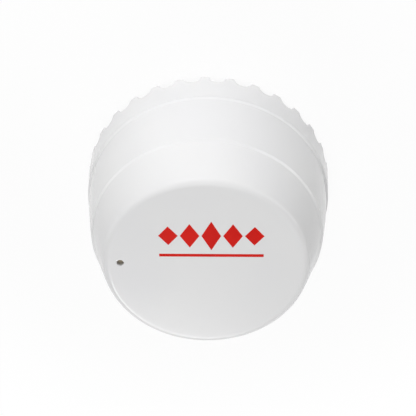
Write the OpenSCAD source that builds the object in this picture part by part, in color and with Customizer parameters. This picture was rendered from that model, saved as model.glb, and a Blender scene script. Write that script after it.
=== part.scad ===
// Water leak sensor: a round puck that stands on the floor on a notched rim.
// A stepped cap twists off three helical ramps. Four probe screws under the floor plate
// feel the water, and carry the board with its battery, radio, sounder and lamp.
// Millimetres, +Z up. The origin is the centre of the circle that the rim stands on.

/* [Base] */
// Diameter of the rim that stands on the floor
base_d = 68; // [67:0.5:80]
// Height of the outer wall, up to the seam
base_h = 9; // [8.6:0.1:12]
// Draft of the outer wall, in degrees
base_draft = 4.5; // [1:0.5:6]
// Thickness of the rim where it stands
rim_t = 2.4; // [1.8:0.1:2.8]
// Clear height under the floor plate
floor_clear = 3; // [2.6:0.1:3.8]
// Thickness of the floor plate
floor_t = 2; // [1.6:0.1:3]
// Number of water notches around the rim
notch_count = 31; // [20:1:34]
// Radius of a water notch
notch_r = 2.2; // [1.4:0.1:2.4]
// Angle from the pinhole's side to the nearest notch, in degrees
notch_turn = 1.4; // [0:0.1:12]
// Thickness of the stiffening ribs behind the rim
rib_t = 1.2; // [0.8:0.1:2]

/* [Cap] */
// Overall height
total_h = 38; // [35:0.5:46]
// Height of the step between the two wall tiers
step_z = 25.9; // [23:0.1:29]
// Width and height of a chamfered step
step = 0.5; // [0.3:0.05:0.8]
// Height of the upright edge at the cap's foot
lip_h = 0.2; // [0.1:0.05:0.6]
// Draft of the lower tier, in degrees
lower_draft = 7.7; // [5:0.1:10]
// Draft of the upper tier, in degrees
upper_draft = 18.8; // [12:0.1:22]
// Radius of the slight outward crown of both tiers
crown_r = 120; // [90:5:300]
// Radius of the edge round the face
face_edge_r = 2; // [1:0.1:3]
// Wall thickness at the thinnest places
cap_wall = 1.6; // [1.2:0.1:2]
// Thickness of the face
face_t = 2; // [1.6:0.1:2.6]
// Diameter of the pinhole
pinhole_d = 1.8; // [1.2:0.1:2.4]
// Distance from the edge of the flat face to the pinhole's centre
pinhole_inset = 2.9; // [2.7:0.1:4]
// Depth of the pinhole above the light pipe
pinhole_depth = 1.4; // [0.8:0.1:1.5]

/* [Closure] */
// Height of the open seam between base and cap
seam_gap = 0.1; // [0.05:0.05:0.4]
// Thickness of the gasket in the seam
seal_t = 1.5; // [1:0.1:2]
// Thickness of the shelf that the gasket lies on
shelf_t = 2; // [1.6:0.1:2.4]
// Thickness of the collar that carries the ramps
collar_t = 1.7; // [1.4:0.1:2]
// Number of lugs, and of ramps
lug_count = 3; // [2:1:3]
// Length of a lug, in degrees
lug_span = 20; // [14:1:24]
// Thickness of a lug
lug_t = 1.6; // [1.2:0.1:2]
// How far a lug stands in from the cap's bore
lug_reach = 1.4; // [1.2:0.1:1.6]
// Thickness of a ramp
ramp_t = 1.6; // [1.2:0.1:2]
// How far a ramp stands out from the collar
ramp_reach = 1.2; // [0.9:0.1:1.3]
// Rise of the cap in one full turn
lead = 16; // [12:0.5:18]
// Turn that frees the lugs, in degrees
twist = 45; // [40:1:50]
// Radial gap between a lug and the collar
lug_gap = 0.4; // [0.3:0.05:0.6]
// Gap along the axis between a lug and its ramp
ramp_gap = 0.3; // [0.2:0.05:0.5]

/* [Probes] */
// Thread diameter of a probe screw
screw_d = 3; // [2.5:0.1:3.2]
// Diameter of a probe head
head_d = 5.6; // [5:0.1:6.5]
// Height of a probe head
head_h = 1.8; // [1.4:0.1:2]
// Thickness of the sealing washer under a head
washer_t = 0.6; // [0.4:0.1:0.8]
// Width of a nut across its flats
nut_af = 5.5; // [5:0.1:5.8]
// Height of a nut
nut_h = 2.4; // [2:0.1:2.8]
// How far a probe screw stands past its upper nut
screw_past = 0.8; // [0.4:0.1:1.5]
// Distance from the board's edge to a probe's centre
probe_edge = 4.2; // [3.8:0.1:4.6]

/* [Board] */
// Thickness of the circuit board
board_t = 1.6; // [1:0.1:2]
// Gap between the board and the collar
board_gap = 0.6; // [0.3:0.1:1]
// Diameter of the posts that the board rests on
post_d = 4; // [3:0.5:5]

/* [Battery] */
// Diameter of the cell
cell_d = 17; // [15:0.1:17.5]
// Length of the cell with its button
cell_len = 34.5; // [30:0.1:35]
// Diameter of the cell's button
nub_d = 6.6; // [5:0.1:8]
// Height of the cell's button
nub_h = 1.2; // [0.8:0.1:1.6]
// Wall thickness of the holder
holder_t = 1.2; // [1:0.1:1.4]
// Gap between the cell and its holder
cell_gap = 0.2; // [0.1:0.05:0.3]
// Width of a spring arm of the holder
arm_w = 6; // [4:0.5:8]
// Height of the spring arms over the cell's axis
arm_rise = 3; // [2:0.1:4]
// Thickness of a contact plate
contact_t = 0.4; // [0.3:0.05:0.6]
// Width of a contact plate
contact_w = 8.5; // [6:0.5:10]
// Length of the squeezed spring behind the cell
spring_len = 2.6; // [2.2:0.1:3]
// Diameter of the spring at its plate
spring_d = 9.4; // [7:0.1:11]
// Diameter of the spring at the cell
spring_tip_d = 4.2; // [3:0.1:6]
// Thickness of the spring's wire
spring_wire = 0.6; // [0.4:0.1:0.8]

/* [Components] */
// Diameter of the sounder
sounder_d = 12; // [9:0.5:12]
// Height of the sounder
sounder_h = 8.5; // [5:0.5:10]
// Diameter of the lamp
led_d = 3; // [2.6:0.1:3]
// Height of the lamp with its stand-off
led_h = 4.6; // [4:0.1:5]
// Diameter of the light pipe
pipe_d = 3; // [2.6:0.1:3.2]
// Width of the push switch
switch_w = 6; // [5:0.1:6]
// Height of the push switch's housing
switch_h = 3.5; // [3:0.1:4]
// Diameter of the push switch's plunger
plunger_d = 3.5; // [2.5:0.1:3.8]
// How far the plunger goes down
press = 0.3; // [0.2:0.05:0.4]
// Diameter of the electrolytic capacitor
can_d = 6.3; // [5:0.1:6.5]
// Height of the electrolytic capacitor
can_h = 7; // [5:0.5:9]
// Thickness of the antenna's wire
antenna_wire = 0.6; // [0.4:0.1:0.8]
// Number of turns in the antenna
antenna_turns = 8; // [5:1:9]
// Length of the antenna
antenna_len = 13; // [9:0.5:16]
// Outer diameter of the antenna
antenna_d = 3.8; // [3:0.1:4.4]
// Width of the radio module's board
radio_w = 10; // [8:0.5:12]
// Length of the radio module's board
radio_l = 11; // [9:0.5:11]
// Thickness of the radio module's board
radio_t = 0.8; // [0.6:0.1:1.2]
// Height of the radio module's shield can
shield_h = 1.8; // [1.2:0.1:2.4]
// Bare edge of the radio module's board round the shield can
shield_edge = 0.8; // [0.5:0.1:1.5]
// Width of the microcontroller's body
mcu_w = 4; // [3.5:0.1:4.4]
// Length of the microcontroller's body
mcu_l = 10; // [8:0.1:10]
// Height of the microcontroller's body
mcu_h = 1.5; // [1:0.1:2]
// Width of the microcontroller over its leads
mcu_span = 6; // [5.4:0.1:6.4]
// Pitch of the leads of the microcontroller and the transistor
lead_pitch = 1.27; // [1:0.01:1.4]
// Length of the crystal's can
crystal_l = 8; // [6:0.1:11]
// Width of the crystal's can
crystal_w = 3.2; // [2.8:0.1:4]
// Height of the crystal's can
crystal_h = 3; // [2:0.1:4]
// Diameter of the transistor's body
transistor_d = 4.8; // [4:0.1:5]
// Height of the transistor's body
transistor_h = 4.6; // [4:0.1:5]
// Length of the transistor's legs
leg_h = 2; // [1:0.1:3]
// Width of a chip component
chip_w = 1.2; // [0.8:0.1:1.6]
// Length of a chip component
chip_l = 2; // [1.2:0.1:2.2]
// Height of a chip component
chip_h = 0.7; // [0.4:0.1:1]

/* [Hidden] */
$fn = 96;
cut = 1;
press_clear = 0.1;
part_gap = 0.8;
lead_t = 0.4;
leg_t = 0.5;
fuse = 0.1;

// Cap outline, as points of radius and height
base_r = base_d / 2;
seam_r = base_r - base_h * tan(base_draft);
foot_z = base_h + seam_gap;
lower_foot = [seam_r - step, foot_z + lip_h + step];
lower_head_z = step_z - step / 2;
lower_head_r = lower_foot[0] - (lower_head_z - lower_foot[1]) * tan(lower_draft);
lower_head = [lower_head_r, lower_head_z];
upper_foot = lower_head + [-step, step];
upper_head = [upper_foot[0] - (total_h - upper_foot[1]) * tan(upper_draft), total_h];
function arc_centre(low, high, r) =
    let (along = (high - low) / norm(high - low))
    (low + high) / 2 + sqrt(r * r - pow(norm(high - low) / 2, 2)) * [-along[1], along[0]];
upper_centre = arc_centre(upper_foot, upper_head, crown_r);
edge_z = total_h - face_edge_r;
edge_reach = crown_r - face_edge_r;
face_r = upper_centre[0] + sqrt(edge_reach * edge_reach - pow(edge_z - upper_centre[1], 2));
upper_end_z = upper_centre[1] + (edge_z - upper_centre[1]) * crown_r / edge_reach;
face_inside_z = total_h - face_t;

// Closure: lugs on the cap run under ramps on the collar
lug_foot = 1;
lug_z = foot_z + lug_foot;
ramp_z = lug_z + lug_t + ramp_gap;
ramp_end = twist + lug_span / 2;
collar_past = 0.8;
collar_top = ramp_z + lead * ramp_end / 360 + ramp_t + collar_past;
bore_past = 1;
bore_top = collar_top + bore_past;
bore_r = lower_foot[0] - (bore_top - lower_foot[1]) * tan(lower_draft) - cap_wall;
collar_r = bore_r - lug_reach - lug_gap;
collar_inside_r = collar_r - collar_t;
ramp_r = collar_r + ramp_reach;
stop_span = 4;
stop_gap = 0.6;
stop_set = 0.2;
ramp_start = -lug_span / 2 - stop_gap - stop_span;
shelf_z = foot_z - seal_t;
seal_edge_gap = 0.3;
seat_wall = 1;
seat_r = seam_r - seat_wall;
rib_set = 0.4;

// Stack of the base, the board and the cell
floor_z = floor_clear + floor_t;
board_z = floor_z + nut_h;
board_top = board_z + board_t;
board_r = collar_inside_r - board_gap;
cell_r = cell_d / 2;
cell_z = board_top + holder_t + cell_gap + cell_r;
holder_r = cell_r + cell_gap + holder_t;
holder_foot = 6;
window_drop = 2.8;
end_gap = 0.1;
contact_past = 4;
holder_len = cell_len + spring_len + 2 * (contact_t + end_gap + holder_t);
cell_end = holder_len / 2 - holder_t - end_gap - contact_t;
spring_end = cell_end - cell_len;

// Places on the board
nut_r = nut_af / 2 / cos(30);
probe_circle = board_r - probe_edge;
probe_x = holder_r + nut_r + part_gap;
probe_y = sqrt(probe_circle * probe_circle - probe_x * probe_x);
side_x = holder_r + part_gap;
side_y = probe_y - nut_r - part_gap;
end_strip_y = (holder_len / 2 + board_r) / 2;
lamp_x = -(face_r - pinhole_inset);
lamp_flange = 0.4;
lamp_gap = 0.5;
pipe_low = board_top + led_h + lamp_gap;
pipe_high = total_h - pinhole_depth;
radio_y = led_d / 2 + lamp_flange + part_gap + radio_l / 2;
mcu_y = -(led_d / 2 + lamp_flange + part_gap + mcu_l / 2);
can_x = side_x + can_d / 2;
can_y = -side_y + can_d / 2;
switch_floor = 1;
plunger_past = 0.5;

// Faces of a tube swept through a number of rings with equal sides
function sweep_faces(rings, sides) = concat(
    [[for (k = [sides - 1:-1:0]) k]],
    [for (i = [0:rings - 2], k = [0:sides - 1])
        let (a = i * sides + k, b = i * sides + (k + 1) % sides)
        each [[a, b, b + sides], [a, b + sides, a + sides]]],
    [[for (k = [0:sides - 1]) (rings - 1) * sides + k]]);

// A block that follows the closure's helix, with its lower face at height z at angle 0
module helix_block(r_in, r_out, from, to, z, thick) {
    rings = ceil((to - from) / 5) + 1;
    points = [for (i = [0:rings - 1])
        let (a = from + (to - from) * i / (rings - 1), low = z + lead * a / 360)
        each [for (p = [[r_in, 0], [r_out, 0], [r_out, thick], [r_in, thick]])
            [p[0] * cos(a), p[0] * sin(a), low + p[1]]]];
    polyhedron(points, sweep_faces(rings, 4), convexity = 4);
}

// A wire wound round the X axis, whose radius goes from r_start to r_end over its length
module coil(r_start, r_end, length, turns, wire) {
    rings = turns * 16 + 1;
    sides = 6;
    points = [for (i = [0:rings - 1])
        let (s = i / (rings - 1), a = 360 * turns * s, r = r_start + (r_end - r_start) * s)
        each [for (k = [0:sides - 1])
            let (out = r + wire / 2 * cos(60 * k), x = length * s + wire / 2 * sin(60 * k))
            [x, out * cos(a), out * sin(a)]]];
    polyhedron(points, sweep_faces(rings, sides), convexity = 2 * turns);
}

module at_lugs() {
    for (i = [0:lug_count - 1]) rotate(i * 360 / lug_count) children();
}

module at_probes() {
    for (x = [-1, 1], y = [-1, 1]) translate([x * probe_x, y * probe_y]) children();
}

// Half section of the base: rim, gasket shelf, collar and floor plate
module base_section() {
    polygon([
        [base_r - rim_t, 0], [base_r, 0], [seam_r, base_h], [seat_r, base_h], [seat_r, shelf_z],
        [collar_r, shelf_z], [collar_r, collar_top], [collar_inside_r, collar_top],
        [collar_inside_r, floor_z], [0, floor_z], [0, floor_clear], [collar_r, floor_clear],
        [collar_r, shelf_z - shelf_t], [base_r - rim_t, shelf_z - shelf_t]]);
}

// Ribs that tie the rim to the collar behind every second tooth
module base_ribs() {
    low = floor_clear + rib_set;
    high = shelf_z - shelf_t / 2;
    for (i = [0:2:notch_count - 2])
        rotate(180 + notch_turn + (i + 0.5) * 360 / notch_count)
            translate([collar_r - cut / 2, -rib_t / 2, low])
                cube([base_r - rim_t - collar_r + cut, rib_t, high - low]);
}

module ramp_and_stop() {
    helix_block(collar_r - collar_t / 2, ramp_r, ramp_start, ramp_end, ramp_z, ramp_t);
    rotate(ramp_start + stop_set)
        rotate_extrude(angle = stop_span - stop_set)
            translate([collar_r - collar_t / 2, shelf_z - shelf_t / 2])
                square([ramp_reach - stop_set + collar_t / 2, ramp_z - shelf_z + shelf_t / 2]);
}

module base_housing() {
    color("white") difference() {
        union() {
            rotate_extrude() base_section();
            base_ribs();
            at_lugs() ramp_and_stop();
            for (x = [-1, 1])
                translate([x * (board_r - post_d), 0, floor_z - cut])
                    cylinder(d = post_d, h = nut_h + cut);
        }
        for (i = [0:notch_count - 1])
            rotate(180 + notch_turn + i * 360 / notch_count)
                translate([base_r - rim_t - cut, 0, 0])
                    rotate([0, 90, 0]) cylinder(r = notch_r, h = rim_t + 2 * cut);
        at_probes() translate([0, 0, floor_clear - cut])
            cylinder(d = screw_d + 2 * press_clear, h = floor_t + 2 * cut);
    }
}

module probe_screws() {
    chamfer = 0.6;
    head_z = floor_clear - washer_t - head_h;
    tip_z = board_top + nut_h + screw_past;
    color("silver") at_probes() rotate_extrude() polygon([
        [0, head_z], [head_d / 2 - chamfer, head_z], [head_d / 2, head_z + chamfer],
        [head_d / 2, head_z + head_h], [screw_d / 2, head_z + head_h],
        [screw_d / 2, tip_z], [0, tip_z]]);
}

module probe_seals() {
    past = 0.4;
    color("dimgray") at_probes() translate([0, 0, floor_clear - washer_t]) difference() {
        cylinder(d = head_d + 2 * past, h = washer_t);
        translate([0, 0, -cut]) cylinder(d = screw_d + 2 * press_clear, h = washer_t + 2 * cut);
    }
}

module probe_nuts() {
    color("lightgray") at_probes() for (z = [floor_z, board_top])
        translate([0, 0, z]) difference() {
            cylinder(r = nut_r, h = nut_h, $fn = 6);
            translate([0, 0, -cut]) cylinder(d = screw_d + 2 * press_clear, h = nut_h + 2 * cut);
        }
}

module circuit_board() {
    color("darkgreen") translate([0, 0, board_z]) difference() {
        cylinder(r = board_r, h = board_t);
        at_probes() translate([0, 0, -cut]) cylinder(d = screw_d + 2 * press_clear, h = board_t + 2 * cut);
    }
}

// Cross section of the holder: a round trough on a foot, open at the top
module holder_section() {
    difference() {
        union() {
            circle(r = holder_r);
            translate([-holder_r, board_top - cell_z]) square([2 * holder_r, holder_foot]);
        }
        circle(r = cell_r + cell_gap);
        translate([-holder_r - cut, arm_rise]) square([2 * (holder_r + cut), holder_r + cut]);
    }
}

// End wall of the holder
module holder_wall() {
    translate([-holder_r, board_top - cell_z])
        square([2 * holder_r, cell_z - board_top + contact_past]);
}

// Moulded cradle: three pairs of spring arms hold the cell, with windows between them
module battery_holder() {
    window = (holder_len - 2 * holder_t - 3 * arm_w) / 2;
    color("dimgray") difference() {
        translate([0, holder_len / 2, cell_z]) rotate([90, 0, 0]) {
            linear_extrude(holder_len) holder_section();
            for (y = [0, holder_len - holder_t])
                translate([0, 0, y]) linear_extrude(holder_t) holder_wall();
        }
        for (side = [-1, 1])
            translate([-holder_r - cut, side * (arm_w + window) / 2 - window / 2, cell_z - window_drop])
                cube([2 * (holder_r + cut), window, holder_r]);
    }
}

module battery_cell() {
    groove = 0.6;
    groove_in = 3;
    can_len = cell_len - nub_h;
    color("royalblue") translate([0, spring_end, cell_z]) rotate([-90, 0, 0])
        rotate_extrude() difference() {
            union() {
                square([cell_r, can_len]);
                square([nub_d / 2, cell_len]);
            }
            translate([cell_r + groove / 2, can_len - groove_in]) circle(r = groove);
        }
}

// A contact plate that stands in the holder's trough, between the cell and the end wall
module contact_plate() {
    translate([0, contact_t, cell_z]) rotate([90, 0, 0]) linear_extrude(contact_t) intersection() {
        circle(r = cell_r + cell_gap - press_clear);
        translate([-contact_w / 2, -cell_d]) square([contact_w, cell_d + contact_past]);
    }
}

module positive_contact() {
    color("lightgray") translate([0, cell_end, 0]) contact_plate();
}

module negative_spring() {
    plate_y = spring_end - spring_len;
    turns = 2;
    run = spring_len - spring_wire - fuse;
    color("lightgray") {
        translate([0, plate_y - contact_t, 0]) contact_plate();
        translate([0, plate_y + spring_wire / 2 - fuse, cell_z]) rotate(90)
            coil(spring_d / 2, spring_tip_d / 2, run, turns, spring_wire);
    }
}

module radio_module() {
    pad_strip = 2.2;
    shield = [radio_w - 2 * shield_edge, radio_l - shield_edge - pad_strip, radio_t + shield_h];
    color("steelblue") translate([-side_x - radio_w, radio_y - radio_l / 2, board_top]) {
        cube([radio_w, radio_l, radio_t]);
        translate([shield_edge, shield_edge, 0]) cube(shield);
    }
}

module antenna_coil() {
    wire_r = (antenna_d - antenna_wire) / 2;
    color("goldenrod") translate([-antenna_len / 2, end_strip_y, board_top + antenna_d / 2])
        coil(wire_r, wire_r, antenna_len, antenna_turns, antenna_wire);
}

module microcontroller() {
    color("black") translate([-side_x - mcu_span / 2, mcu_y, board_top]) {
        translate([-mcu_w / 2, -mcu_l / 2, lead_t / 2]) cube([mcu_w, mcu_l, mcu_h]);
        for (i = [-3:3])
            translate([-mcu_span / 2, i * lead_pitch - lead_t / 2, 0])
                cube([mcu_span, lead_t, lead_t]);
    }
}

module crystal() {
    straight = crystal_l - crystal_w;
    color("silver") translate([0, -end_strip_y, board_top]) {
        for (x = [-1, 1])
            translate([x * straight / 2, 0, 0]) cylinder(d = crystal_w, h = crystal_h);
        translate([-straight / 2, -crystal_w / 2, 0]) cube([straight, crystal_w, crystal_h]);
    }
}

module capacitor() {
    bead_z = 1.2;
    bead_r = 0.5;
    bead_depth = 0.3;
    vent_w = 0.3;
    vent_depth = 0.2;
    color("midnightblue") translate([can_x, can_y, board_top]) difference() {
        cylinder(d = can_d, h = can_h);
        translate([0, 0, bead_z]) rotate_extrude()
            translate([can_d / 2 + bead_r - bead_depth, 0]) circle(r = bead_r);
        for (a = [0, 90])
            rotate(a) translate([-can_d, -vent_w / 2, can_h - vent_depth]) cube([2 * can_d, vent_w, cut]);
    }
}

module sounder() {
    hole_d = 2;
    hole_depth = 1.5;
    color("black") translate([side_x + sounder_d / 2, 0, board_top]) difference() {
        cylinder(d = sounder_d, h = sounder_h);
        translate([0, 0, sounder_h - hole_depth]) cylinder(d = hole_d, h = hole_depth + cut);
    }
}

module alarm_transistor() {
    flat_y = transistor_d / 4;
    color("black") translate([can_x + (can_d + transistor_d) / 2 + part_gap, can_y, board_top]) {
        translate([0, 0, leg_h]) difference() {
            cylinder(d = transistor_d, h = transistor_h);
            translate([-transistor_d, flat_y, -cut])
                cube([2 * transistor_d, transistor_d, transistor_h + 2 * cut]);
        }
        for (i = [-1:1])
            translate([i * lead_pitch - leg_t / 2, -leg_t / 2, 0]) cube([leg_t, leg_t, leg_h + cut]);
    }
}

module status_led() {
    stand = 0.8;
    flange_h = 1;
    leg_x = led_d / 5;
    color("red", 0.8) translate([lamp_x, 0, board_top]) {
        for (x = [-leg_x, leg_x])
            translate([x, 0, 0]) cylinder(d = leg_t, h = stand + cut / 2, $fn = 16);
        translate([0, 0, stand]) cylinder(d = led_d + 2 * lamp_flange, h = flange_h);
        translate([0, 0, stand]) cylinder(d = led_d, h = led_h - stand - led_d / 2);
        translate([0, 0, led_h - led_d / 2]) sphere(d = led_d);
    }
}

module at_switch() {
    translate([side_x + switch_w / 2, side_y - switch_w / 2, board_top]) children();
}

module switch_body() {
    color("dimgray") at_switch() difference() {
        translate([-switch_w / 2, -switch_w / 2, 0]) cube([switch_w, switch_w, switch_h]);
        translate([0, 0, switch_floor]) cylinder(d = plunger_d + 2 * press_clear, h = switch_h);
    }
}

module pairing_button() {
    low = switch_floor + press + press_clear;
    color("black") at_switch() translate([0, 0, low])
        cylinder(d = plunger_d, h = switch_h + press + plunger_past - low);
}

module chip_components() {
    chip_gap = 0.6;
    right_x = side_x + switch_w + part_gap;
    left_x = -(side_x + mcu_span + part_gap + chip_w);
    color("tan") for (i = [0:2]) {
        translate([right_x + i * (chip_w + chip_gap), side_y - switch_w, board_top])
            cube([chip_w, chip_l, chip_h]);
        translate([left_x, mcu_y + (i - 1.5) * (chip_l + chip_gap), board_top])
            cube([chip_w, chip_l, chip_h]);
    }
}

module seal_gasket() {
    color("gray") translate([0, 0, shelf_z]) difference() {
        cylinder(r = seat_r - seal_edge_gap, h = seal_t);
        translate([0, 0, -cut]) cylinder(r = ramp_r + seal_edge_gap, h = seal_t + 2 * cut);
    }
}

// Part of the outline between two heights, with a slightly crowned edge
module crowned_band(foot, centre, top_z) {
    intersection() {
        translate(centre) circle(r = crown_r, $fn = 256);
        translate([0, foot[1]]) square([foot[0] + cut, top_z - foot[1]]);
    }
}

// Half outline of the cap: foot with its step, lower tier, step, upper tier and rounded face edge
module cap_outline() {
    polygon([[0, foot_z], [seam_r, foot_z], [seam_r, foot_z + lip_h], lower_foot, [0, lower_foot[1]]]);
    crowned_band(lower_foot, arc_centre(lower_foot, lower_head, crown_r), lower_head[1]);
    polygon([[0, lower_head[1]], lower_head, upper_foot, [0, upper_foot[1]]]);
    crowned_band(upper_foot, upper_centre, upper_end_z);
    translate([face_r, edge_z]) circle(r = face_edge_r);
    translate([0, upper_foot[1]]) square([face_r, total_h - upper_foot[1]]);
}

// Half section of the space inside the cap
module cap_hollow() {
    corner = 1;
    top_r = upper_head[0] + face_t * tan(upper_draft) - cap_wall / cos(upper_draft);
    polygon([
        [0, foot_z - cut], [bore_r, foot_z - cut], [bore_r, bore_top],
        [upper_foot[0] - cap_wall, step_z], [top_r, face_inside_z - corner],
        [top_r - corner, face_inside_z], [0, face_inside_z]]);
}

module cap_shell() {
    boss_wall = 1.1;
    boss_h = 5;
    boss_z = face_inside_z - boss_h;
    color("white") difference() {
        union() {
            difference() {
                rotate_extrude() cap_outline();
                rotate_extrude() cap_hollow();
            }
            at_lugs() helix_block(bore_r - lug_reach, bore_r + cap_wall / 2,
                -lug_span / 2, lug_span / 2, lug_z, lug_t);
            translate([lamp_x, 0, boss_z])
                cylinder(d = pipe_d + 2 * boss_wall, h = boss_h + face_t / 2);
        }
        translate([lamp_x, 0, boss_z - cut])
            cylinder(d = pipe_d + 2 * press_clear, h = pipe_high - boss_z + cut);
        translate([lamp_x, 0, face_inside_z]) cylinder(d = pinhole_d, h = face_t + cut);
    }
}

module light_pipe() {
    color("lightcyan", 0.6) translate([lamp_x, 0, pipe_low])
        cylinder(d = pipe_d, h = pipe_high - pipe_low);
}

base_housing();
probe_screws();
probe_seals();
probe_nuts();
circuit_board();
battery_holder();
battery_cell();
positive_contact();
negative_spring();
radio_module();
antenna_coil();
microcontroller();
crystal();
capacitor();
sounder();
alarm_transistor();
status_led();
switch_body();
pairing_button();
chip_components();
seal_gasket();
cap_shell();
light_pipe();
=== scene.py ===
import math

import bmesh
import bpy
from mathutils import Matrix, Vector


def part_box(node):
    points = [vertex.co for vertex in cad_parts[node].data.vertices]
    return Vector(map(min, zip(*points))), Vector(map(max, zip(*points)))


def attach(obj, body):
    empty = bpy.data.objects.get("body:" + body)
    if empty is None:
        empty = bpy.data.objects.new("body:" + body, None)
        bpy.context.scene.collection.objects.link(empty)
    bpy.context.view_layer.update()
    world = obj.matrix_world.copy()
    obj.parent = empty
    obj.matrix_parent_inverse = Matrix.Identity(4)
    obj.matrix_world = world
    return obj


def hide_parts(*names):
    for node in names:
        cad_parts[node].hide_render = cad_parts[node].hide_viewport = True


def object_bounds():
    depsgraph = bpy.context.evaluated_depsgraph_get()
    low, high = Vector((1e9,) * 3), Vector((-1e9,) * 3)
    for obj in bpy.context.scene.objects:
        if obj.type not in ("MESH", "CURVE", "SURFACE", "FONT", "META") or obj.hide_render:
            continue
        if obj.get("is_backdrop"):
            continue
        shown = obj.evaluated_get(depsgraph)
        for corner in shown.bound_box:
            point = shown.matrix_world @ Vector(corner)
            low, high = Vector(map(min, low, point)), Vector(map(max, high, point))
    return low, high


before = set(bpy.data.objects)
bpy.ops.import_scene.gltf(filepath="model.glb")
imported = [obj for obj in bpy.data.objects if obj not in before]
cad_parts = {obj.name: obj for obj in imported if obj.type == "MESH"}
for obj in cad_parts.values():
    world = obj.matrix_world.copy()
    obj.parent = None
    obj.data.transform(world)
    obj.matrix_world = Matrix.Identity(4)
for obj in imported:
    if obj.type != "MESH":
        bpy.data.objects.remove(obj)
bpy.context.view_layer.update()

# Base housing
# The round tray that stands on the floor, with water notches all round its rim and a floor plate inside.
# One white ABS moulding; a collar inside the gasket seat carries three helical ramps for the cap.
MM = 0.001
rim_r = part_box("base_housing")[1].x / MM
collar_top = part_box("base_housing")[1].z / MM
seam_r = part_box("cap_shell")[1].x / MM
foot_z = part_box("cap_shell")[0].z / MM
seam_gap = 0.1
base_h = foot_z - seam_gap
rim_t = 2.4
floor_clear = 3.0
floor_z = 5.0
shelf_t = 2.0
shelf_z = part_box("seal_gasket")[0].z / MM
seat_r = seam_r - 1.0
collar_r = 28.32
collar_inside_r = 26.62
collar_edge_r = 0.3
shelf_fillet = 0.3
seam_edge_r = 0.15
seam_band = 0.3
tray_corner_r = 0.5
notch_count = 31
notch_r = 2.2
notch_turn = 1.4
tooth_corner_r = 0.35
moulded_edge_r = 0.2
probe_x, probe_y = 13.875, 16.8
probe_places = [(x, y) for x in (-probe_x, probe_x) for y in (-probe_y, probe_y)]
probe_hole_r = 1.6


def linear(hex_colour):
    """An sRGB hex colour as linear red, green, blue and alpha."""
    parts = [int(hex_colour[i:i + 2], 16) / 255 for i in (1, 3, 5)]
    return [c / 12.92 if c <= 0.04045 else ((c + 0.055) / 1.055) ** 2.4 for c in parts] + [1.0]


def put(tree, kind, values=(), links=(), **settings):
    """Adds a shader node, sets its properties and sockets, and links outputs to its sockets."""
    made = tree.nodes.new("ShaderNode" + kind)
    for name, value in settings.items():
        setattr(made, name, value)
    for socket, value in dict(values).items():
        made.inputs[socket].default_value = value
    for socket, source in dict(links).items():
        tree.links.new(source, made.inputs[socket])
    return made


def start_material(name, **sockets):
    """A new material with one Principled shader; its uniform values sit on the shader's own sockets."""
    made = bpy.data.materials.new(name)
    made.use_nodes = True
    tree = made.node_tree
    tree.nodes.clear()
    shader = put(tree, "BsdfPrincipled", {k.replace("_", " "): v for k, v in sockets.items()})
    put(tree, "OutputMaterial", links={"Surface": shader.outputs["BSDF"]})
    return made, tree, shader


def add_piece(name, bm, body, material, replaced=()):
    """Turns a mesh drawn in millimetres into a smooth piece that rides on a CAD body."""
    bmesh.ops.recalc_face_normals(bm, faces=bm.faces)
    bmesh.ops.scale(bm, vec=(MM, MM, MM), verts=bm.verts)
    for face in bm.faces:
        face.smooth = True
    mesh = bpy.data.meshes.new(name)
    bm.to_mesh(mesh)
    bm.free()
    mesh.materials.append(material)
    piece = bpy.data.objects.new(name, mesh)
    bpy.context.scene.collection.objects.link(piece)
    piece.modifiers.new("even_normals", "WEIGHTED_NORMAL").keep_sharp = True
    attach(piece, body)
    if replaced:
        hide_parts(*replaced)
    return piece


def arc(middle, first, last, steps):
    """Points of a round arc about a middle, from one offset to another of the same length."""
    return [middle + first.slerp(last, k / steps) * first.length for k in range(steps + 1)]


def rounded(corners, steps=3):
    """A line through corners of (radius, height, edge radius), each rounded by its own edge radius."""
    line = []
    for i, (r, z, edge) in enumerate(corners):
        here = Vector((r, z))
        if not edge:
            line.append(here)
            continue
        back = (Vector(corners[i - 1][:2]) - here).normalized()
        ahead = (Vector(corners[i + 1][:2]) - here).normalized()
        half = back.angle(ahead) / 2
        centre = here + (back + ahead).normalized() * edge / math.sin(half)
        first = here + back * edge / math.tan(half) - centre
        last = here + ahead * edge / math.tan(half) - centre
        line += arc(centre, first, last, steps)
    return line


def ring(bm, points):
    """New vertices at a list of points."""
    return [bm.verts.new(point) for point in points]


def turned(bm, line, count, middle=(0, 0), start=0.0):
    """Rings of vertices for a line of (radius, height) turned about an upright axis."""
    angles = [start + 2 * math.pi * i / count for i in range(count)]
    return [
        ring(bm, [(middle[0] + r * math.cos(a), middle[1] + r * math.sin(a), z) for a in angles])
        for r, z in line
    ]


def skin(bm, rings):
    """Quads between neighbouring rings of equal count."""
    for low, high in zip(rings, rings[1:]):
        for a, b, c, d in zip(low, low[1:] + low[:1], high[1:] + high[:1], high):
            bm.faces.new((a, b, c, d))


def loop_edges(bm, loop):
    """The edges round a closed ring of vertices, made where they are missing."""
    return [bm.edges.get(pair) or bm.edges.new(pair) for pair in zip(loop, loop[1:] + loop[:1])]


def fill_flat(bm, *loops):
    """Fills the flat space between an outer ring and the holes in it."""
    edges = [edge for loop in loops for edge in loop_edges(bm, loop)]
    bmesh.ops.triangle_fill(bm, edges=edges, use_beauty=True)


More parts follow.
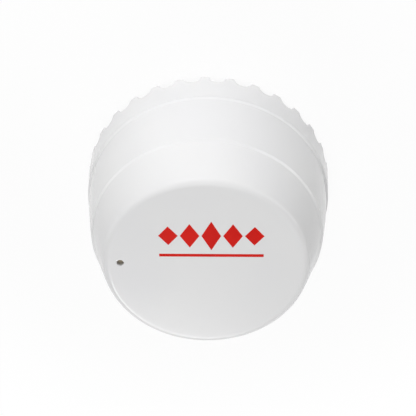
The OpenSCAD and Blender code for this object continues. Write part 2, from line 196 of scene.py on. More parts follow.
def helix_block(bm, r_in, r_out, first, last, low_z, thick, lead, turn, steps=8):
    """A block that climbs round the axis, with its lower face at low_z at angle 0, turned as a whole."""
    rings = []
    for i in range(steps + 1):
        a = first + (last - first) * i / steps
        z = low_z + lead * a / 360
        c, s = math.cos(math.radians(a + turn)), math.sin(math.radians(a + turn))
        section = [(r_in, z), (r_out, z), (r_out, z + thick), (r_in, z + thick)]
        rings.append(ring(bm, [(r * c, r * s, h) for r, h in section]))
    skin(bm, rings)
    bm.faces.new(rings[0])
    bm.faces.new(rings[-1])


def brick(bm, low, high, turn=0.0):
    """A plain block between two corners, turned about the axis by an angle in degrees."""
    made = bmesh.ops.create_cube(bm, size=1)["verts"]
    size = [b - a for a, b in zip(low, high)]
    middle = [(a + b) / 2 for a, b in zip(low, high)]
    bmesh.ops.scale(bm, vec=size, verts=made)
    bmesh.ops.translate(bm, vec=middle, verts=made)
    bmesh.ops.rotate(bm, cent=(0, 0, 0), matrix=Matrix.Rotation(math.radians(turn), 3, "Z"), verts=made)


def notch_outline():
    """One pitch of the rim's lower edge, as (along, up) points with the direction into the plastic."""
    corner_steps, notch_steps = 3, 12
    flat_from = math.sqrt(notch_r ** 2 + 2 * notch_r * tooth_corner_r)
    meet = math.atan2(tooth_corner_r, flat_from)
    line = [(Vector((-math.pi * rim_r / notch_count, 0)), Vector((0, 1)))]
    corner = []
    for k in range(corner_steps + 1):
        a = -math.pi / 2 + (math.pi / 2 - meet) * k / corner_steps
        out = Vector((math.cos(a), math.sin(a)))
        corner.append((Vector((-flat_from, tooth_corner_r)) + out * tooth_corner_r, -out))
    line += corner
    for k in range(1, notch_steps):
        a = math.pi - meet - (math.pi - 2 * meet) * k / notch_steps
        out = Vector((math.cos(a), math.sin(a)))
        line.append((out * notch_r, out))
    line += [(Vector((-p.x, p.y)), Vector((-n.x, n.y))) for p, n in reversed(corner)]
    return line


def rim_ring(bm, outline, sunk, radius_at, share=0.0, top_z=0.0):
    """One ring along the notched edge: sunk into the plastic, and moved up by a share towards top_z."""
    pitch = 2 * math.pi * rim_r / notch_count
    even = share * share * (3 - 2 * share)
    points = []
    for i in range(notch_count):
        middle = math.radians(180 + notch_turn + i * 360 / notch_count)
        for k, (place, inward) in enumerate(outline):
            along, up = place + inward * sunk
            along += (pitch * (k / len(outline) - 0.5) - along) * even
            up += (top_z - up) * share
            a = middle + along / rim_r
            r = radius_at(up)
            points.append((r * math.cos(a), r * math.sin(a), up))
    return ring(bm, points)


def outer_wall(z):
    """Radius of the drafted outside of the rim at a height."""
    return rim_r + (seam_r - rim_r) * z / base_h


def inner_wall(z):
    """Radius of the upright inside of the rim, the same at every height."""
    return rim_r - rim_t


def joined_coarse(bm, fine, coarse):
    """A flat band between a ring and one with fewer vertices."""
    each = len(fine) // len(coarse)
    for j, vert in enumerate(coarse):
        edge = [fine[(j * each + k) % len(fine)] for k in range(each + 1)]
        bm.faces.new(edge + [coarse[(j + 1) % len(coarse)], vert])


bm = bmesh.new()
outline = notch_outline()
fine_count = notch_count * len(outline)
coarse_count = fine_count // 4
start = math.radians(180 + notch_turn) - math.pi / notch_count
shelf_low = shelf_z - shelf_t
round_steps = [math.radians(30 * k) for k in range(4)]
rows = (0.0, 0.2, 0.45, 0.7, 1.0)

under = turned(bm, rounded([
    (collar_r, floor_clear, 0), (collar_r, shelf_low - shelf_fillet, 0),
    (collar_r + shelf_fillet, shelf_low, 0),
]), coarse_count, start=start)
inside = [rim_ring(bm, outline, moulded_edge_r, inner_wall, share, shelf_low) for share in reversed(rows)]
edge = []
for a in reversed(round_steps):
    set_in = moulded_edge_r * (1 - math.sin(a))
    edge.append(rim_ring(bm, outline, moulded_edge_r * (1 - math.cos(a)), lambda z: inner_wall(z) + set_in))
for a in round_steps:
    set_in = moulded_edge_r * (1 - math.sin(a))
    edge.append(rim_ring(bm, outline, moulded_edge_r * (1 - math.cos(a)), lambda z: outer_wall(z) - set_in))
band_z = base_h - seam_band
outside = [rim_ring(bm, outline, moulded_edge_r, outer_wall, share, band_z) for share in rows]
seam = turned(bm, rounded([
    (seam_r, band_z, 0), (seam_r, base_h, seam_edge_r), (seat_r, base_h, seam_edge_r), (seat_r, shelf_z, 0),
])[1:], fine_count, start=start)
tray = turned(bm, rounded([
    (collar_r, shelf_z, 0), (collar_r, collar_top, collar_edge_r),
    (collar_inside_r, collar_top, collar_edge_r), (collar_inside_r, floor_z, tray_corner_r),
    (collar_inside_r - 2 * tray_corner_r, floor_z, 0),
]), coarse_count, start=start)
skin(bm, under)
joined_coarse(bm, inside[0], under[-1])
skin(bm, inside + edge[1:] + outside[1:] + seam)
joined_coarse(bm, seam[-1], tray[0])
skin(bm, tray)
hole_line = [(probe_hole_r, floor_clear), (probe_hole_r, floor_z)]
holes = [turned(bm, hole_line, count=24, middle=at) for at in probe_places]
fill_flat(bm, under[0], *[hole[0] for hole in holes])
fill_flat(bm, tray[-1], *[hole[1] for hole in holes])
for hole in holes:
    skin(bm, hole)
bmesh.ops.remove_doubles(bm, verts=bm.verts, dist=1e-4)

# Ribs tie the rim to the collar behind every second tooth, with their ends sunk into both walls.
rib_t = 1.2
rib_sunk = 0.5
rib_low = floor_clear + 0.4
for i in range(0, notch_count - 1, 2):
    turn = 180 + notch_turn + (i + 0.5) * 360 / notch_count
    low = (collar_r - rib_sunk, -rib_t / 2, rib_low)
    high = (rim_r - rim_t + rib_sunk, rib_t / 2, shelf_z - shelf_t / 2)
    brick(bm, low, high, turn)

# Three ramps climb the collar, each with a stop at its lower end.
lead = 16.0
ramp_z = 12.0
ramp_t = 1.6
ramp_first, ramp_last = -14.6, 55.0
ramp_reach = 1.2
ramp_root = collar_r - 0.8
stop_reach = 1.0
stop_first, stop_last = -14.4, -10.8
stop_z = shelf_z - 0.5
stop_h = 4.6
for turn in (0, 120, 240):
    helix_block(bm, ramp_root, collar_r + ramp_reach, ramp_first, ramp_last, ramp_z, ramp_t, lead, turn, 16)
    helix_block(bm, ramp_root, collar_r + stop_reach, stop_first, stop_last, stop_z, stop_h, 0, turn, 3)

# Two posts under the board.
board_low, board_high = [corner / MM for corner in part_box("circuit_board")]
post_r = 2.0
post_sunk = 1.0
post_x = board_high.x - 2 * post_r
for x in (-post_x, post_x):
    post_line = [(post_r, floor_z - post_sunk), (post_r, board_low.z)]
    post = turned(bm, post_line, count=32, middle=(x, 0))
    skin(bm, post)
    bm.faces.new(post[0])
    bm.faces.new(post[1])


def add_grain(tree, shader, grain_mm, depth_mm, rough):
    """A fine uneven surface: a grain of a real width and depth, with roughness between two values."""
    where = put(tree, "TexCoord").outputs["Object"]
    fine = {"Scale": 1 / (grain_mm * MM), "Detail": 2.0}
    grain = put(tree, "TexNoise", fine, {"Vector": where}).outputs["Fac"]
    spread = {"From Min": 0.3, "From Max": 0.7, "To Min": rough[0], "To Max": rough[1]}
    rough_at = put(tree, "MapRange", spread, {"Value": grain})
    bump = put(tree, "Bump", {"Strength": 1.0, "Distance": depth_mm * MM}, {"Height": grain})
    tree.links.new(rough_at.outputs["Result"], shader.inputs["Roughness"])
    tree.links.new(bump.outputs["Normal"], shader.inputs["Normal"])


def add_tint(tree, shader, first, second, patch_mm):
    """A slow drift between two close tones over patches of a real size."""
    where = put(tree, "TexCoord").outputs["Object"]
    slow = {"Scale": 1 / (patch_mm * MM), "Detail": 1.0}
    drift = put(tree, "TexNoise", slow, {"Vector": where}).outputs["Fac"]
    ends = {"From Min": 0.35, "From Max": 0.65}
    share = put(tree, "MapRange", ends, {"Value": drift}).outputs["Result"]
    tone = put(tree, "Mix", {6: linear(first), 7: linear(second)}, {0: share}, data_type="RGBA")
    tree.links.new(tone.outputs[2], shader.inputs["Base Color"])
    return tone.outputs[2]


# White ABS with a fine spark-eroded mould texture: an even satin white with a soft, broad shine.
# The real grain is about 0.1 mm wide; it is drawn coarser so that it shows at all.
white_abs, tree, shader = start_material("moulded_white_abs", IOR=1.53)
add_tint(tree, shader, "#F1F1F1", "#EEEEEF", 25)
add_grain(tree, shader, 0.6, 0.002, (0.18, 0.25))
add_piece("base_moulding", bm, "base", white_abs, ["base_housing"])

# Probe screws with their seals and nuts
# Four stainless steel screws hang through the floor plate, and their heads feel the water that runs in.
# A rubber washer seals each hole, and one nut on the plate and one on the board clamp the screw.
head_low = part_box("probe_screws")[0].z / MM
screw_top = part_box("probe_screws")[1].z / MM
head_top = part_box("probe_seals")[0].z / MM
head_r = 2.8
head_chamfer = 0.6
head_edge_r = 0.4
head_flat_r = head_r - head_chamfer - 0.3
bearing_edge_r = 0.1
shank_r = 1.5
tip_h, tip_in = 0.2, 0.3
thread_pitch = 0.5
thread_depth = 0.28
thread_turns = 3
recess_arm, recess_half_w = 1.5, 0.36
recess_floor_arm, recess_floor_half_w = 0.62, 0.24
recess_depth = 0.95


def cross_loop(bm, at, arm, half, z):
    """Outline of a cross recess: four arms of one length and width."""
    quarter = [(arm, -half), (arm, half), (half, half)]
    turns = [(1, 0, 0, 1), (0, -1, 1, 0), (-1, 0, 0, -1), (0, 1, -1, 0)]
    return ring(bm, [
        (at[0] + a * x + b * y, at[1] + c * x + d * y, z) for a, b, c, d in turns for x, y in quarter
    ])


bm = bmesh.new()
for at in probe_places:
    line = rounded([
        (head_flat_r, head_low, 0), (head_r - head_chamfer, head_low, head_edge_r),
        (head_r, head_low + head_chamfer, head_edge_r), (head_r, head_top, bearing_edge_r),
        (shank_r, head_top, 0),
    ])
    for k in range(thread_turns):
        z = screw_top - tip_h - (thread_turns - k) * thread_pitch
        line += [Vector((shank_r, z)), Vector((shank_r - thread_depth, z + thread_pitch / 2))]
    line += [Vector((shank_r, screw_top - tip_h)), Vector((shank_r - tip_in, screw_top))]
    rings = turned(bm, line, count=40, middle=at)
    skin(bm, rings)
    bm.faces.new(rings[-1])
    mouth = cross_loop(bm, at, recess_arm, recess_half_w, head_low)
    bottom = cross_loop(bm, at, recess_floor_arm, recess_floor_half_w, head_low + recess_depth)
    fill_flat(bm, rings[0], mouth)
    skin(bm, [mouth, bottom])
    bm.faces.new(bottom)

# Stainless steel, turned and tumbled: bright grey, with a fine unevenness that breaks up the shine.
steel, tree, shader = start_material("turned_stainless_steel", Metallic=1.0)
add_tint(tree, shader, "#CCCBC7", "#BBBAB6", 1.5)
add_grain(tree, shader, 0.25, 0.002, (0.2, 0.34))
add_piece("probe_screw_set", bm, "base", steel, ["probe_screws"])


def dress(node, material):
    """A better material for a CAD node that keeps its shape."""
    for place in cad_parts[node].material_slots:
        place.material = material


dress("probe_nuts", steel)

# EPDM rubber, moulded: dull black with a faint grey bloom.
rubber, tree, shader = start_material("moulded_epdm_rubber", IOR=1.52)
add_tint(tree, shader, "#1B1C1E", "#27282A", 3)
add_grain(tree, shader, 0.3, 0.01, (0.6, 0.8))
dress("probe_seals", rubber)

# Circuit board
# A round glass-epoxy board under green solder mask, clamped on the four probe screws over two posts.
# It carries the battery holder in the middle and the small parts on both sides of it.
track_w, track_pitch = 0.35, 1.1
track_field = 7.0
track_t = 0.035
bare_share, turned_share = 0.35, 0.5

# Solder mask over copper: glossy green, lighter and slightly raised where a track runs below.
# Tracks run along X in some fields of the board and along Y in others, and some fields have none.
mask_green, tree, shader = start_material("green_solder_mask", IOR=1.55, Roughness=0.25)
where = put(tree, "TexCoord").outputs["Object"]
along = put(tree, "SeparateXYZ", links={"Vector": where})
field = put(tree, "TexVoronoi", {"Scale": 1 / (track_field * MM)}, {"Vector": where}, distance="CHEBYCHEV")
chance = put(tree, "SeparateColor", links={"Color": field.outputs["Color"]}).outputs
runs = []
for axis in "XY":
    count = put(tree, "Math", {1: 1 / (track_pitch * MM)}, {0: along.outputs[axis]}, operation="MULTIPLY")
    place = put(tree, "Math", links={0: count.outputs[0]}, operation="FRACT")
    share = track_w / track_pitch
    runs.append(put(tree, "Math", {1: share}, {0: place.outputs[0]}, operation="LESS_THAN").outputs[0])
turned_field = put(
    tree, "Math", {1: turned_share}, {0: chance["Red"]}, operation="GREATER_THAN").outputs[0]
run = put(tree, "Mix", links={0: turned_field, 2: runs[0], 3: runs[1]}).outputs[0]
routed = put(tree, "Math", {1: bare_share}, {0: chance["Green"]}, operation="GREATER_THAN").outputs[0]
track = put(tree, "Math", links={0: run, 1: routed}, operation="MULTIPLY").outputs[0]
green = put(tree, "Mix", {6: linear("#0F4A27"), 7: linear("#1E6E3C")}, {0: track}, data_type="RGBA")
raised = put(tree, "Bump", {"Distance": track_t * MM}, {"Height": track})
tree.links.new(green.outputs[2], shader.inputs["Base Color"])
tree.links.new(raised.outputs["Normal"], shader.inputs["Normal"])
dress("circuit_board", mask_green)

# Battery holder and contacts
# A black moulded cradle, soldered to the board by the tails of its contacts, grips the cell by spring arms.
# A nickel-plated plate meets the cell's button, and a conical spring pushes from the other end.

# Polypropylene, moulded: near black, with a soft low shine.
black_pp, tree, shader = start_material("moulded_black_polypropylene", IOR=1.49)
add_tint(tree, shader, "#1A1A1C", "#222224", 6)
add_grain(tree, shader, 0.4, 0.006, (0.4, 0.52))
dress("battery_holder", black_pp)

# Nickel plate over spring steel: a bright, slightly warm metal with faint rolling marks.
nickel, tree, shader = start_material("nickel_plated_spring_steel", Metallic=1.0)
add_tint(tree, shader, "#D0CCC2", "#C2BDB2", 1.2)
add_grain(tree, shader, 0.2, 0.0015, (0.18, 0.3))
dress("positive_contact", nickel)
dress("negative_spring", nickel)

# Battery cell
# One 17 by 34.5 mm lithium cell, a steel can with a button at one end, pressed down into the holder.
# A blue shrink film covers it but for both ends, with a pale band that marks the button's end.
cell_low, cell_high = [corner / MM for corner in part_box("battery_cell")]
button_h = 1.2
bare_end = 0.7
band_w = 6.0


def past(tree, axis, limit, test="GREATER_THAN"):
    """1 where a place lies past a limit along an axis, in millimetres, or short of it with another test."""
    where = put(tree, "SeparateXYZ", links={"Vector": put(tree, "TexCoord").outputs["Object"]})
    return put(tree, "Math", {1: limit * MM}, {0: where.outputs[axis]}, operation=test).outputs[0]


def add_zone(tree, shader, tone, mask, colour, metal=False):
    """Another colour over a tone where a mask is 1, as bare metal or not."""
    mixed = put(tree, "Mix", {7: linear(colour)}, {0: mask, 6: tone}, data_type="RGBA").outputs[2]
    tree.links.new(mixed, shader.inputs["Base Color"])
    if metal:
        tree.links.new(mask, shader.inputs["Metallic"])
    return mixed


# PVC shrink film over steel: an even glossy blue that ends in a sharp line beside the bare can.
cell_film, tree, shader = start_material("blue_shrink_film", IOR=1.54)
tone = add_tint(tree, shader, "#1B4B9B", "#1F53A8", 5)
add_grain(tree, shader, 0.8, 0.003, (0.22, 0.3))
can_end = cell_high.y - button_h
after_band = past(tree, "Y", can_end - bare_end - band_w)
tone = add_zone(tree, shader, tone, after_band, "#D9DDE2")
bare = past(tree, "Y", can_end - bare_end)
bare_start = past(tree, "Y", cell_low.y + bare_end, "LESS_THAN")
bare = put(tree, "Math", links={0: bare, 1: bare_start}, operation="MAXIMUM").outputs[0]
add_zone(tree, shader, tone, bare, "#C9C8C4", metal=True)
dress("battery_cell", cell_film)

# Radio module and antenna
# A small daughter board with a soldered shield can, and a hand-wound helix of wire beside the holder.
# The can is tin-plated steel sheet; the helix is enamelled copper, soldered at one end.
module_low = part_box("radio_module")[0].z / MM
module_t = 0.8

# Tinned steel sheet: pale, soft-bright, a little cloudy from the plating.
tinned, tree, shader = start_material("tinned_steel_sheet", Metallic=1.0)
add_tint(tree, shader, "#C4C5C4", "#B2B4B4", 2.5)
add_grain(tree, shader, 0.5, 0.003, (0.3, 0.46))

# Tinned can on the module's own board: soft-bright metal above, dark blue below the foot of the can.
module_sheet, tree, shader = start_material("tinned_shield_on_blue_board", IOR=1.5)
tone = add_tint(tree, shader, "#14284F", "#1A3160", 3)
add_grain(tree, shader, 0.5, 0.003, (0.3, 0.46))
add_zone(tree, shader, tone, past(tree, "Z", module_low + module_t), "#BCBEBD", metal=True)
dress("radio_module", module_sheet)

# Enamelled copper: a reddish metal under a clear brown varnish.
copper, tree, shader = start_material(
    "enamelled_copper_wire", Metallic=1.0, Coat_Weight=0.6, Coat_Roughness=0.12)
add_tint(tree, shader, "#B96C3C", "#A65A2E", 1.0)
add_grain(tree, shader, 0.2, 0.001, (0.22, 0.34))
dress("antenna_coil", copper)

# Microcontroller, crystal and chip parts
# The surface-mounted parts beside the holder, all soldered to the board.
# A black epoxy package on tinned leads, a drawn steel crystal can, and ceramic chips with tinned ends.
mcu_low, mcu_high = [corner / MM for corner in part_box("microcontroller")]
mcu_half_w = 2.0
hair = 0.01

# Epoxy moulding compound: dull black; the leads that stand out on both sides are tinned.
package, tree, shader = start_material("black_epoxy_with_tinned_leads", IOR=1.55)
tone = add_tint(tree, shader, "#161617", "#1E1E1F", 2)
add_grain(tree, shader, 0.15, 0.004, (0.5, 0.62))
mcu_x = (mcu_low.x + mcu_high.x) / 2
right_leads = past(tree, "X", mcu_x + mcu_half_w + hair)
left_leads = past(tree, "X", mcu_x - mcu_half_w - hair, "LESS_THAN")
leads = put(tree, "Math", links={0: right_leads, 1: left_leads}, operation="MAXIMUM").outputs[0]
add_zone(tree, shader, tone, leads, "#C3C4C2", metal=True)
dress("microcontroller", package)
dress("crystal", tinned)

# Fired ceramic: a pale brown, matt and slightly speckled.
ceramic, tree, shader = start_material("fired_chip_ceramic", IOR=1.6)
add_tint(tree, shader, "#8E765A", "#7F684E", 0.5)
add_grain(tree, shader, 0.1, 0.003, (0.5, 0.65))
dress("chip_components", ceramic)

# Each chip is found by its corner in the CAD node, and gets a tinned cap on both ends.
chip_w, chip_l, chip_h = 1.2, 2.0, 0.7
chip_end = 0.4
end_proud = 0.03
end_edge_r = 0.05
board_top = board_high.z
chip_corners = {tuple(vert.co.xy / MM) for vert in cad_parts["chip_components"].data.vertices}


def near_any(x, y, places):
    """Whether a place lies within a hair of one of a list."""
    return any(math.dist((x, y), place) < hair for place in places)


bm = bmesh.new()
done = []
for x, y in sorted(chip_corners):
    whole = near_any(x + chip_w, y, chip_corners) and near_any(x, y + chip_l, chip_corners)
    if whole and not near_any(x, y, done):
        done.append((x, y))
        for first in (y - end_proud, y + chip_l - chip_end):
            low = (x - end_proud, first, board_top)
            high = (x + chip_w + end_proud, first + chip_end + end_proud, board_top + chip_h + end_proud)
            brick(bm, low, high)
bmesh.ops.bevel(bm, geom=bm.edges[:], offset=end_edge_r, segments=2, affect="EDGES")
add_piece("chip_end_caps", bm, "base", tinned)

# Capacitor, sounder and transistor
# The taller parts on the right of the holder: a sleeved aluminium can, a black sounder with a hole in
# its lid, and the small moulded transistor that drives it.
can_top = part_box("capacitor")[1].z / MM
vent_bare = 0.25

# Printed sleeve over aluminium: dark blue, glossy; the scored top of the can is bare.
sleeve, tree, shader = start_material("sleeved_aluminium_can", IOR=1.52)
tone = add_tint(tree, shader, "#1B1E36", "#22263F", 3)
add_grain(tree, shader, 0.5, 0.002, (0.24, 0.34))
add_zone(tree, shader, tone, past(tree, "Z", can_top - vent_bare), "#CFD0D1", metal=True)
dress("capacitor", sleeve)

# Phenylene oxide, moulded: a plain black with a fine matt texture.
black_ppo, tree, shader = start_material("moulded_black_ppo", IOR=1.57)
add_tint(tree, shader, "#151516", "#1D1D1E", 3)
add_grain(tree, shader, 0.2, 0.005, (0.46, 0.6))
dress("sounder", black_ppo)
dress("pairing_button", black_ppo)

# Epoxy body on three tinned legs: dull black above thin, bright metal.
leg_h = 2.0
transistor_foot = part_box("alarm_transistor")[0].z / MM + leg_h
moulded, tree, shader = start_material("black_epoxy_on_tinned_legs", IOR=1.55)
tone = add_tint(tree, shader, "#171718", "#202021", 2)
add_grain(tree, shader, 0.15, 0.004, (0.48, 0.6))
legs = past(tree, "Z", transistor_foot - hair, "LESS_THAN")
add_zone(tree, shader, tone, legs, "#C3C4C2", metal=True)
dress("alarm_transistor", moulded)

# Lamp and push switch
# A red 3 mm lamp stands under the light pipe; beside the holder sits the switch that pairs the sensor.
# The lamp is cast in tinted epoxy; the switch has a pressed steel cover round a black plunger.

# Tinted epoxy: deep red and clear, darker where it is thick.
red_epoxy, tree, shader = start_material(
    "tinted_red_epoxy", IOR=1.52, Transmission_Weight=0.55, Specular_IOR_Level=0.5)
add_tint(tree, shader, "#C3160F", "#B0110C", 1.5)
add_grain(tree, shader, 0.6, 0.001, (0.06, 0.12))
dress("status_led", red_epoxy)
dress("switch_body", tinned)

# Gasket
# A flat ring of rubber that lies on the shelf of the base, round the collar, and is squeezed by the cap.
# Punched from sheet, so both faces are plain.
dress("seal_gasket", rubber)

# Cap
# The stepped cover with a flat face and a pinhole for the lamp, pushed down and twisted shut on the collar.
# White ABS like the base; inside are three lugs for the ramps and a boss that grips the light pipe.
total_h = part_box("cap_shell")[1].z / MM
step_z = 25.9
step = 0.5
lip_h = 0.2
lower_draft = math.radians(7.7)
upper_draft = math.radians(18.8)
crown_r = 120.0
face_edge_r = 2.0
face_t = 2.0
cap_wall = 1.6
foot_edge_r, lip_edge_r, step_edge_r = 0.08, 0.06, 0.15
face_rim_w = 0.6
hollow_corner_r = 0.5
hollow_slope = 1.0
bore_r = 30.12
bore_top = collar_top + 1
pinhole_r = 0.9
pinhole_edge_r = 0.12
lamp_x = (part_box("light_pipe")[0].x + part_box("light_pipe")[1].x) / 2 / MM
pipe_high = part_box("light_pipe")[1].z / MM
pipe_bore_r = 1.6
boss_r = 2.6
boss_h = 5.0
boss_edge_r = 0.2
lug_z = foot_z + 1.0
lug_t = 1.6
lug_reach = 1.4
lug_half_span = 10.0
cap_count = 288


def crown_centre(low, high):
    """Middle of the crown's arc, which passes through two points of the wall."""
    along = (high - low).normalized()
    depth = math.sqrt(crown_r ** 2 - ((high - low).length / 2) ** 2)
    return (low + high) / 2 + Vector((-along.y, along.x)) * depth


def crown_line(low, high, centre, steps=10):
    """Points on the slightly crowned wall between two of its points, without the ends."""
    return arc(centre, low - centre, high - centre, steps)[1:-1]


def unrounded(points):
    """Points of a curve as corners that keep their place."""
    return [(p.x, p.y, 0) for p in points]


lower_foot = Vector((seam_r - step, foot_z + lip_h + step))
lower_head_z = step_z - step / 2
lower_head = Vector((lower_foot.x - (lower_head_z - lower_foot.y) * math.tan(lower_draft), lower_head_z))
upper_foot = lower_head + Vector((-step, step))
upper_head = Vector((upper_foot.x - (total_h - upper_foot.y) * math.tan(upper_draft), total_h))
lower_centre = crown_centre(lower_foot, lower_head)
upper_centre = crown_centre(upper_foot, upper_head)
edge_z = total_h - face_edge_r
edge_reach = crown_r - face_edge_r
face_r = upper_centre.x + math.sqrt(edge_reach ** 2 - (edge_z - upper_centre.y) ** 2)
edge_middle = Vector((face_r, edge_z))
upper_end = upper_centre + (edge_middle - upper_centre).normalized() * crown_r
edge_arc = arc(edge_middle, upper_end - edge_middle, Vector((0, face_edge_r)), 8)
hollow_top = total_h - face_t
hollow_r = upper_head.x + face_t * math.tan(upper_draft) - cap_wall / math.cos(upper_draft)

bm = bmesh.new()
outside = rounded([
    (bore_r, foot_z, 0), (seam_r, foot_z, foot_edge_r), (seam_r, foot_z + lip_h, lip_edge_r),
    (*lower_foot, step_edge_r), *unrounded(crown_line(lower_foot, lower_head, lower_centre)),
    (*lower_head, step_edge_r), (*upper_foot, step_edge_r),
    *unrounded(crown_line(upper_foot, upper_end, upper_centre)),
    *unrounded(edge_arc), (face_r - face_rim_w, total_h, 0),
])
inside = rounded([
    (bore_r, foot_z, 0), (bore_r, bore_top, hollow_corner_r),
    (upper_foot.x - cap_wall, step_z, hollow_corner_r),
    (hollow_r, hollow_top - hollow_slope, hollow_corner_r), (hollow_r - hollow_slope, hollow_top, 0),
])
outer_rings = turned(bm, outside, cap_count)
inner_rings = [outer_rings[0]] + turned(bm, inside[1:], cap_count)
skin(bm, outer_rings)
skin(bm, inner_rings)
hole = turned(bm, rounded([
    (boss_r, hollow_top, 0), (boss_r, hollow_top - boss_h, boss_edge_r),
    (pipe_bore_r, hollow_top - boss_h, boss_edge_r), (pipe_bore_r, pipe_high, 0),
    (pinhole_r, pipe_high, 0), (pinhole_r, total_h, pinhole_edge_r),
    (pinhole_r + 2 * pinhole_edge_r, total_h, 0),
]), count=48, middle=(lamp_x, 0))
skin(bm, hole)
fill_flat(bm, outer_rings[-1], hole[-1])
fill_flat(bm, inner_rings[-1], hole[0])
lug_ends = (-lug_half_span, lug_half_span)
for turn in (0, 120, 240):
    helix_block(bm, bore_r - lug_reach, bore_r + cap_wall / 2, *lug_ends, lug_z, lug_t, lead, turn)
add_piece("cap_moulding", bm, "cap", white_abs, ["cap_shell"])

# Light pipe
# A clear rod pushed into the boss under the pinhole; it brings the lamp's light up to the face.
# Cut from polished acrylic rod; its sawn ends are left hazy and spread the light.

# Acrylic with sawn ends: hazy rather than clear; its faint warm tint is painted shade, the tan look seen in
# the depth of the pinhole.
acrylic, tree, shader = start_material("hazy_clear_acrylic", IOR=1.49, Transmission_Weight=0.5)
add_tint(tree, shader, "#E6D9C2", "#DCCFB8", 4)
add_grain(tree, shader, 1.5, 0.001, (0.12, 0.2))
dress("light_pipe", acrylic)

# Print on the cap's face
# A plain ornament of lozenges over a thin rule, pad printed in red on the face beside the middle.
# The ink stands as a thin film on the plastic.
film_t = 0.015
print_middle = Vector((0.9, 10.0))
print_turn = math.radians(3.0)
lozenge_pitch = 5.4
lozenge_half_w = 2.45
lozenge_heights = (2.9, 3.7, 4.5, 3.7, 2.9)
rule_half_w = 13.2
rule_low, rule_high = -6.6, -5.7


def film(bm, corners):
    """A closed film of ink over an outline on the face."""
    turn = Matrix.Rotation(print_turn, 2)
    flat = [print_middle + turn @ Vector(corner) for corner in corners]
    low = ring(bm, [(*p, total_h - film_t) for p in flat])
    high = ring(bm, [(*p, total_h + film_t) for p in flat])
    skin(bm, [low, high])
    bm.faces.new(low)
    bm.faces.new(high)


bm = bmesh.new()
for i, half_h in enumerate(lozenge_heights):
    x = (i - len(lozenge_heights) // 2) * lozenge_pitch
    film(bm, [(x - lozenge_half_w, 0), (x, -half_h), (x + lozenge_half_w, 0), (x, half_h)])
film(bm, [
    (-rule_half_w, rule_low), (rule_half_w, rule_low), (rule_half_w, rule_high), (-rule_half_w, rule_high),
])

# Red pad printing ink: opaque and even, deep in colour and more matt than the plastic round it.
red_ink, tree, shader = start_material("pad_printed_red_ink", IOR=1.45, Specular_IOR_Level=0.15)
add_tint(tree, shader, "#E01A0C", "#D8160A", 4)
add_grain(tree, shader, 0.5, 0.002, (0.36, 0.44))
add_piece("face_ornament", bm, "cap", red_ink)

# Floor, light and camera
# A pale studio floor with soft lamps, seen from the photograph's side with the notched rim towards the top.
# The floor shows white to the camera and in reflections, and keeps a part of the object's shadow.
white = linear("#FFFFFF")
floor_half = 1500
floor_drop = 0.02
shade_r, clear_r = 50, 120
least_glow = 0.92
bm = bmesh.new()
bmesh.ops.create_grid(bm, x_segments=1, y_segments=1, size=floor_half * MM)
mesh = bpy.data.meshes.new("floor")
bm.to_mesh(mesh)
bm.free()
floor = bpy.data.objects.new("floor", mesh)
floor.location.z = -floor_drop * MM
bpy.context.scene.collection.objects.link(floor)
floor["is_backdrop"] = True


def white_rays(tree):
    """1 for rays from the camera, in reflections and through clear parts, which see plain white."""
    seen = put(tree, "LightPath").outputs
    shown = seen["Is Camera Ray"]
    for kind in ("Is Glossy Ray", "Is Transmission Ray"):
        shown = put(tree, "Math", links={0: shown, 1: seen[kind]}, operation="MAXIMUM").outputs[0]
    return shown


# Matt painted board: pale grey where it is lit; close to the object a small share keeps the shadow.
pale, tree, shader = start_material("pale_floor", Base_Color=linear("#F2F2F2"), Roughness=0.9)
where = put(tree, "TexCoord").outputs["Object"]
away = put(tree, "VectorMath", links={0: where}, operation="LENGTH").outputs["Value"]
fade = {"From Min": shade_r * MM, "From Max": clear_r * MM, "To Min": least_glow, "To Max": 1.0}
plain = put(tree, "MapRange", fade, {"Value": away}, interpolation_type="SMOOTHSTEP").outputs["Result"]
share = put(tree, "Math", links={0: white_rays(tree), 1: plain}, operation="MULTIPLY").outputs[0]
glow = put(tree, "Emission", {"Color": white, "Strength": 1.0})
mixed = put(tree, "MixShader", links={0: share, 1: shader.outputs[0], 2: glow.outputs[0]})
tree.links.new(mixed.outputs[0], tree.nodes["Material Output"].inputs["Surface"])
mesh.materials.append(pale)

world = bpy.data.worlds.new("studio")
bpy.context.scene.world = world
world.use_nodes = True
tree = world.node_tree
tree.nodes.clear()
ambient = 0.05
soft = put(tree, "Background", {"Color": white, "Strength": ambient})
backdrop = put(tree, "Background", {"Color": white, "Strength": 1.0})
mixed = put(tree, "MixShader", links={0: white_rays(tree), 1: soft.outputs[0], 2: backdrop.outputs[0]})
put(tree, "OutputWorld", links={"Surface": mixed.outputs[0]})

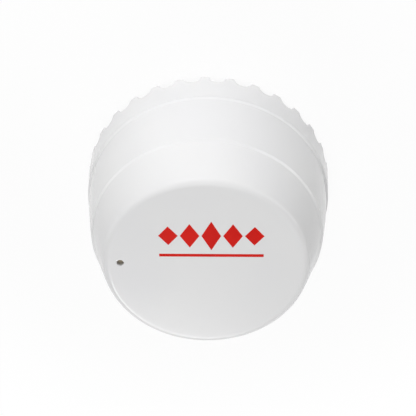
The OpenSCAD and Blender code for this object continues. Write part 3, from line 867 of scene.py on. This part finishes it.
# The softboxes give the soft light and stay out of the shine. The strips stand where the chamfers of the
# rings mirror the camera to, so they also draw the thin light lines along the seam and the step.
aim = Vector((0, 0, 15))
lamps = [
    ("front_softbox", (-33, 166, 33), (90, 60), 0.088),
    ("high_softbox", (-142, 306, 849), (350, 350), 2.4),
    ("overhead_softbox", (0, 31, 914), (400, 400), 1.9),
    ("back_softbox", (40, -420, 45), (400, 120), 0.36),
    ("back_strip", (-96, -683, 594), (350, 150), 1.4),
    ("right_back_strip", (899, -40, 158), (380, 110), 0.26),
    ("right_strip", (827, 222, 293), (380, 110), 0.42),
    ("right_front_strip", (657, 495, 381), (380, 110), 0.44),
    ("left_front_strip", (-625, 524, 395), (380, 110), 0.34),
    ("left_strip", (-814, 249, 308), (380, 110), 0.25),
    ("left_back_strip", (-880, -62, 194), (380, 110), 0.27),
]
for name, at, size, watts in lamps:
    light = bpy.data.lights.new(name, "AREA")
    light.shape = "RECTANGLE"
    light.size, light.size_y = size[0] * MM, size[1] * MM
    light.energy = watts
    lamp = bpy.data.objects.new(name, light)
    lamp.location = Vector(at) * MM
    lamp.rotation_euler = (Vector(at) - aim).to_track_quat("Z", "Y").to_euler()
    lamp.visible_glossy = "strip" in name
    bpy.context.scene.collection.objects.link(lamp)

# The camera is fitted to the rim, seam, step and outline; seam_pixel is where the seam's middle lies.
camera = bpy.data.objects.new("camera", bpy.data.cameras.new("camera"))
bpy.context.scene.collection.objects.link(camera)
bpy.context.scene.camera = camera
image_side = 416
seam_middle = Vector((0, 0, 9.44))
seam_pixel = (207.85, 201.5)
camera_distance = 276.25
camera_azimuth = math.radians(91.25)
camera_tilt = math.radians(36.09)
camera_roll = math.radians(-1.69)
camera.data.sensor_width = 36
camera.data.lens = 86
toward = Vector((math.cos(camera_azimuth), math.sin(camera_azimuth), 0))
up = Vector((0, 0, 1))
back = toward * math.sin(camera_tilt) + up * math.cos(camera_tilt)
top = toward * math.cos(camera_tilt) - up * math.sin(camera_tilt)
right = top.cross(back)
turned_right = right * math.cos(camera_roll) - top * math.sin(camera_roll)
turned_top = right * math.sin(camera_roll) + top * math.cos(camera_roll)
pixel = camera.data.sensor_width / camera.data.lens / image_side * camera_distance
shift_right = (seam_pixel[0] - image_side / 2) * pixel
shift_up = (image_side / 2 - seam_pixel[1]) * pixel
place = seam_middle + back * camera_distance - turned_right * shift_right - turned_top * shift_up
axes = Matrix((turned_right, turned_top, back)).transposed().to_4x4()
camera.matrix_world = Matrix.Translation(place * MM) @ axes

bpy.context.scene.view_settings.view_transform = "Standard"
low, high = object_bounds()
